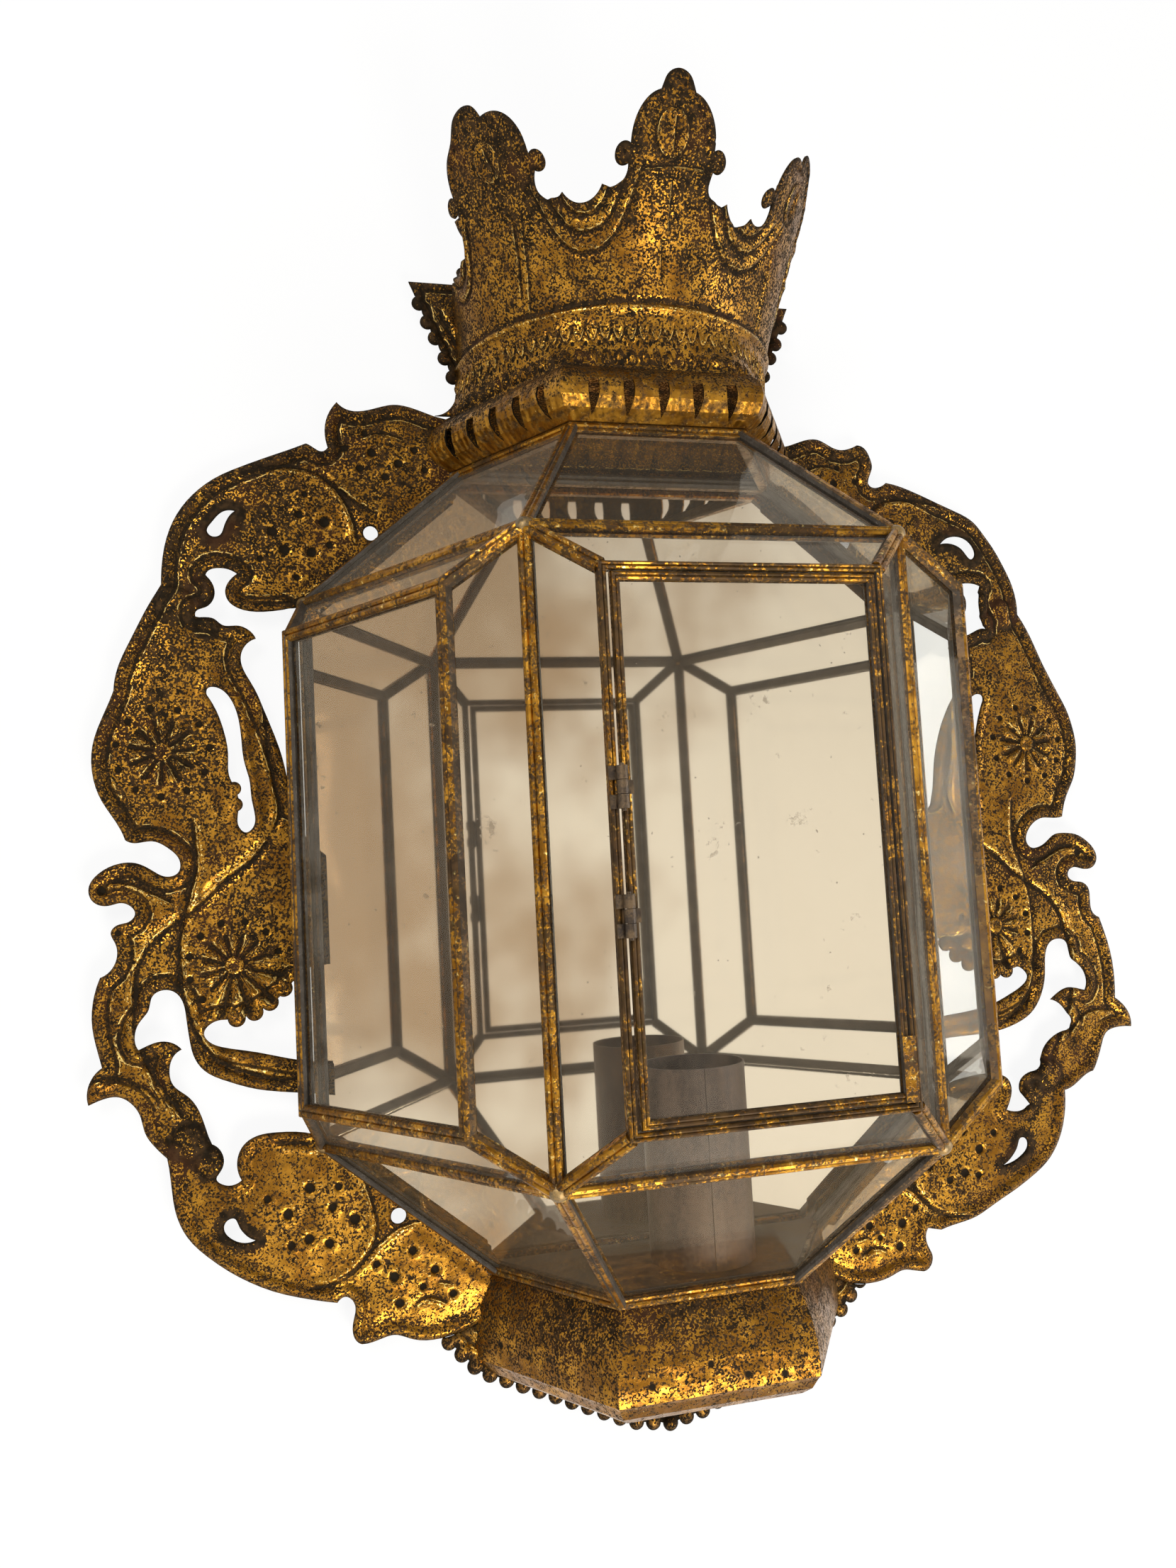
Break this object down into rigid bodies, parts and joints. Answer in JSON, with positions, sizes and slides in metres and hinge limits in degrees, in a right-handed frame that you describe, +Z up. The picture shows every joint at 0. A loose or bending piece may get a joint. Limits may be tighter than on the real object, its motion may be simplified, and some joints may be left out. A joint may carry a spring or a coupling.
{
  "type": "wall lantern sconce",
  "caption": "Wall lantern with a crowned, scrolled sheet-metal back, a mirrored glass body with a hinged door and a candle sleeve.",
  "frame": {"origin": "on the wall, at the middle of the lantern body's height and width, on the back of the tray", "axes": "+Y into the wall, +Z up, +X to the right as seen from the front"},
  "size_m": [0.5436, 0.1759, 0.6186],
  "materials": {
    "gilt_sheet": "worn gilding on embossed sheet, mottled dark brown",
    "came": "worn gilt over grey lead, beaded",
    "glass": "clear old glass, slightly dusty",
    "mirror": "aged silvering with foxing",
    "tin": "dull brown-grey tin",
    "dark_iron": "dark tarnished sheet",
    "solder": "dull solder with gilt traces"
  },
  "bodies": {
    "lantern": {"roof_pane_left": "glass", "roof_pane_front": "glass", "roof_pane_right": "glass", "base_pane_left": "glass", "base_pane_front": "glass", "base_pane_right": "glass", "bevel_panes_left": "glass", "bevel_panes_front": "glass", "bevel_panes_right": "glass", "table_pane_left": "glass", "table_pane_right": "glass", "solder_joints": "solder", "eaves": "came", "base_eaves": "came", "top_ring": "came", "bottom_ring": "came", "corner_posts": "came", "roof_hips": "came", "base_hips": "came", "left_table_frame": "came", "right_table_frame": "came", "door_jamb": "came", "left_bevel_bars": "came", "front_bevel_bars": "came", "right_bevel_bars": "came", "jamb_knuckles": "dark_iron", "hinge_pins": "dark_iron", "back_tray": "tin", "mirror": "mirror", "left_wing": "gilt_sheet", "right_wing": "gilt_sheet", "top_shield": "gilt_sheet", "bottom_apron": "gilt_sheet", "vent_collar": "gilt_sheet", "bottom_pan": "gilt_sheet", "crown_plate": "gilt_sheet", "crown": "gilt_sheet", "floor_plate": "tin", "sleeve_disc": "tin", "candle_sleeve": "tin"},
    "door": {"door_pane": "glass", "door_frame": "came", "door_knuckles": "dark_iron", "catch_strip": "came"}
  },
  "joints": [
    {"name": "door_hinge", "type": "hinge", "parent": "lantern", "child": "door", "pos_m": [-0.0545, -0.1737, 0], "axis": [0, 0, -1], "range_deg": [0, 135]}
  ]
}
